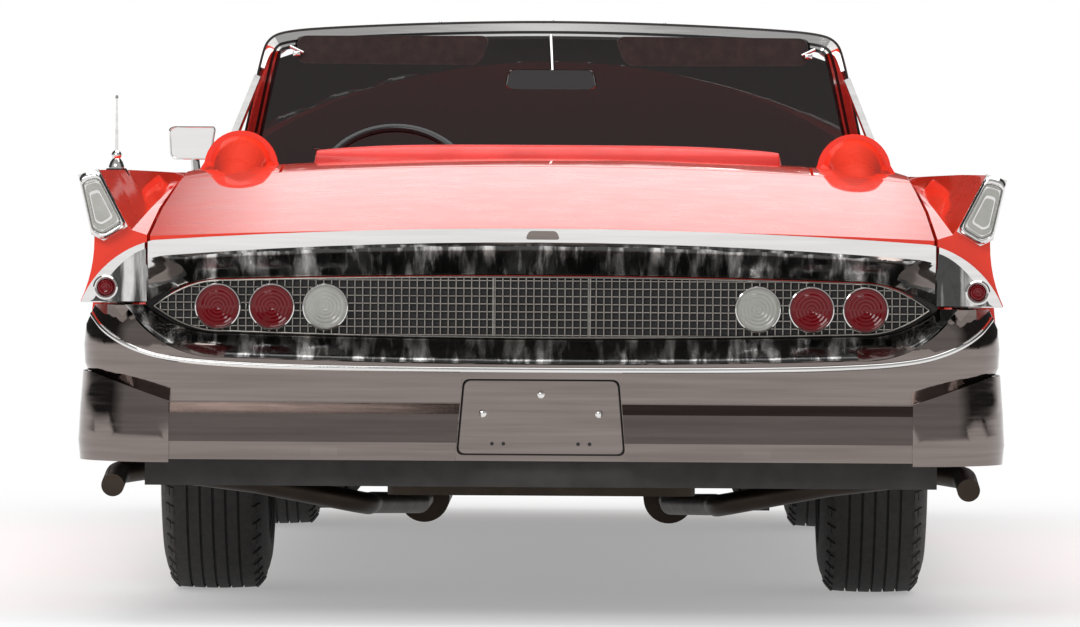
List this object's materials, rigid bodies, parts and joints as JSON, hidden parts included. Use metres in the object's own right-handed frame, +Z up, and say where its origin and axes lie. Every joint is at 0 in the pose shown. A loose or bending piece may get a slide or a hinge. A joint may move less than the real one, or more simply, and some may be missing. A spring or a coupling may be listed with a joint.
{
  "type": "two-door convertible car of the late 1950s",
  "caption": "Full-size open two-door car with canted tail fins, an oval chrome tail with round lamps, opening doors and lids, turning road wheels and working steering.",
  "frame": {"origin": "on the ground, in the middle of the length and width", "axes": "+Y towards the nose, +X towards the right-hand side, +Z up"},
  "size_m": [2.035, 5.817, 1.394],
  "materials": {
    "paint": "glossy red enamel",
    "chrome": "bright plated",
    "underbody": "dark semi-gloss",
    "cast": "painted casting",
    "steel": "dull",
    "tyre": "black rubber",
    "red_lens": "ribbed red lens",
    "clear_lens": "ribbed clear lens",
    "glass": "clear safety glass",
    "leather": "red leather",
    "black_plastic": "black",
    "trim_cloth": "dark cloth",
    "mirror": "silvered glass in a plated case"
  },
  "bodies": {
    "root": {"floor_pan": "underbody", "firewall": "underbody", "seat_bulkhead": "underbody", "side_trims": "leather", "wheel_houses": "underbody", "cowl": "paint", "tail_panel": "underbody", "tail_trim": "chrome", "tail_grille": "chrome", "tail_lamps": "red_lens", "reversing_lamps": "clear_lens", "nose_panel": "paint", "front_grille": "chrome", "headlamp_bezels": "chrome", "headlamps": "clear_lens", "bumper_rear": "chrome", "bumper_front": "chrome", "windshield_frame": "chrome", "windshield_glass": "glass", "sun_visors": "trim_cloth", "inside_mirror": "mirror", "aerial": "chrome", "dashboard": "paint", "steering_column": "black_plastic", "front_seat": "leather", "rear_seat": "leather", "engine_block": "cast", "front_suspension": "cast", "rear_axle": "cast", "exhaust": "steel", "fuel_tank": "steel", "fender_right": "paint", "quarter_right": "paint", "fender_left": "paint", "quarter_left": "paint"},
    "hood": {"hood": "paint"},
    "trunk_lid": {"trunk_lid": "paint", "trunk_band": "chrome"},
    "top_well_cover": {"top_well_cover": "paint"},
    "door_right": {"door_right": "paint", "vent_window_right": "glass"},
    "door_left": {"door_left": "paint", "vent_window_left": "glass", "side_mirror": "mirror"},
    "steering_wheel": {"steering_wheel": "black_plastic"},
    "knuckle_right": {"knuckle_right": "cast"},
    "knuckle_left": {"knuckle_left": "cast"},
    "road_wheel_front_right": {"wheel_front_right": "chrome", "tyre_front_right": "tyre"},
    "road_wheel_front_left": {"wheel_front_left": "chrome", "tyre_front_left": "tyre"},
    "road_wheel_rear_right": {"wheel_rear_right": "chrome", "tyre_rear_right": "tyre"},
    "road_wheel_rear_left": {"wheel_rear_left": "chrome", "tyre_rear_left": "tyre"}
  },
  "joints": [
    {"name": "hood_hinge", "type": "hinge", "parent": "root", "child": "hood", "pos_m": [0, 1.2285, 1.027], "axis": [1, 0, 0], "range_deg": [0, 50]},
    {"name": "trunk_hinge", "type": "hinge", "parent": "root", "child": "trunk_lid", "pos_m": [0, -1.5635, 1.01], "axis": [-1, 0, 0], "range_deg": [0, 50]},
    {"name": "well_cover_hinge", "type": "hinge", "parent": "root", "child": "top_well_cover", "pos_m": [0, -1.5635, 1.01], "axis": [1, 0, 0], "range_deg": [0, 75]},
    {"name": "door_right_hinge", "type": "hinge", "parent": "root", "child": "door_right", "pos_m": [1.006, 1.0135, 0.6], "axis": [0, 0, 1], "range_deg": [0, 65]},
    {"name": "door_left_hinge", "type": "hinge", "parent": "root", "child": "door_left", "pos_m": [-1.006, 1.0135, 0.6], "axis": [0, 0, -1], "range_deg": [0, 65]},
    {"name": "steer_right", "type": "hinge", "parent": "root", "child": "knuckle_right", "pos_m": [0.69, 1.9235, 0.368], "axis": [0, 0, 1], "range_deg": [-30, 30]},
    {"name": "steer_left", "type": "hinge", "parent": "root", "child": "knuckle_left", "pos_m": [-0.69, 1.9235, 0.368], "axis": [0, 0, 1], "range_deg": [-30, 30]},
    {"name": "steering_wheel_turn", "type": "hinge", "parent": "root", "child": "steering_wheel", "pos_m": [-0.405, 0.232, 0.917], "axis": [0, -0.8829, 0.4695], "range_deg": [-540, 540]},
    {"name": "spin_front_right", "type": "hinge", "parent": "knuckle_right", "child": "road_wheel_front_right", "pos_m": [0.771, 1.9235, 0.368], "axis": [1, 0, 0], "continuous": true},
    {"name": "spin_front_left", "type": "hinge", "parent": "knuckle_left", "child": "road_wheel_front_left", "pos_m": [-0.771, 1.9235, 0.368], "axis": [1, 0, 0], "continuous": true},
    {"name": "spin_rear_right", "type": "hinge", "parent": "root", "child": "road_wheel_rear_right", "pos_m": [0.771, -1.4035, 0.368], "axis": [1, 0, 0], "continuous": true},
    {"name": "spin_rear_left", "type": "hinge", "parent": "root", "child": "road_wheel_rear_left", "pos_m": [-0.771, -1.4035, 0.368], "axis": [1, 0, 0], "continuous": true}
  ],
  "couplings": [
    {"joint": "steer_left", "follows": "steer_right", "ratio": 1},
    {"joint": "steering_wheel_turn", "follows": "steer_right", "ratio": 18}
  ]
}
